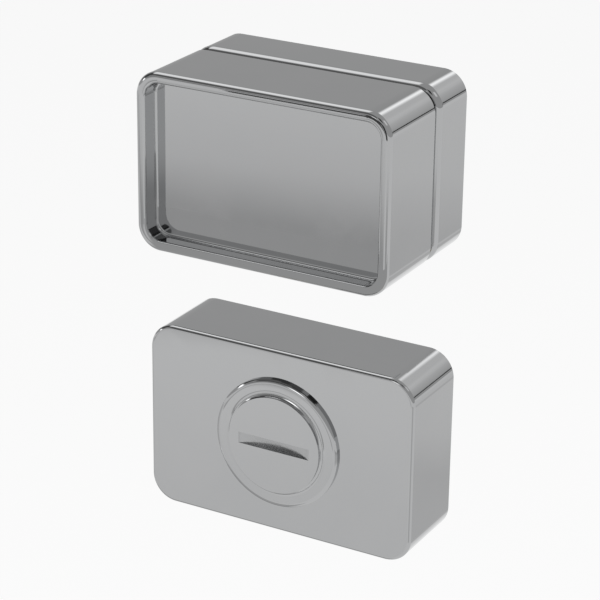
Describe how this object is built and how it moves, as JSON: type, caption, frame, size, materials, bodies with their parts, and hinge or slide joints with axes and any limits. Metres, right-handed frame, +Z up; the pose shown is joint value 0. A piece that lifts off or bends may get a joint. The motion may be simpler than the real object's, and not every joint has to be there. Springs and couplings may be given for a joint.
{
  "type": "bathroom door rose",
  "caption": "Rectangular chrome bathroom turn with dished knob on a matching rose, and its release block with a coin-slot disc.",
  "frame": {"origin": "turn unit's spindle axis at the door face, on the back of its rose", "axes": "+Y out of the back of the rose, into the door; both fronts face -Y; +Z up; +X to the right seen from the front"},
  "size_m": [0.0655, 0.0801, 0.0697],
  "materials": {
    "polished_chrome": "mirror-polished chrome plate",
    "plate_metal": "die-cast, as cast",
    "steel": "zinc-plated machined steel",
    "spring_steel": "hardened spring steel",
    "brass": "turned brass",
    "nylon": "natural nylon"
  },
  "bodies": {
    "rose": {"thrust_washer": "nylon", "rose_cover": "polished_chrome", "rose_base_plate": "plate_metal", "rose_cover_screw": "steel", "rose_bush": "nylon", "detent_balls": "steel", "detent_springs": "spring_steel", "detent_plugs": "steel", "rose_disc_spring": "spring_steel", "release_cover": "polished_chrome", "release_ring": "polished_chrome", "release_base_plate": "plate_metal", "release_inserts": "brass", "release_cover_screw": "steel", "release_bush": "nylon", "release_disc_spring": "spring_steel"},
    "knob": {"turn_knob": "polished_chrome", "knob_back_plate": "plate_metal", "knob_plate_screws": "steel", "knob_stem": "steel", "knob_grub_screw": "steel", "spindle": "steel", "stop_disc": "steel", "rose_circlip": "spring_steel"},
    "disc": {"release_disc": "polished_chrome", "release_washer": "steel", "release_circlip": "spring_steel"}
  },
  "joints": [
    {"name": "knob_turn", "type": "hinge", "parent": "rose", "child": "knob", "pos_m": [0, 0, 0], "axis": [0, 1, 0], "range_deg": [0, 90]},
    {"name": "disc_turn", "type": "hinge", "parent": "rose", "child": "disc", "pos_m": [0.0155, -0.034, -0.03675], "axis": [0, 1, 0], "range_deg": [-90, 0]}
  ],
  "couplings": [
    {"joint": "disc_turn", "follows": "knob_turn", "ratio": -1}
  ]
}
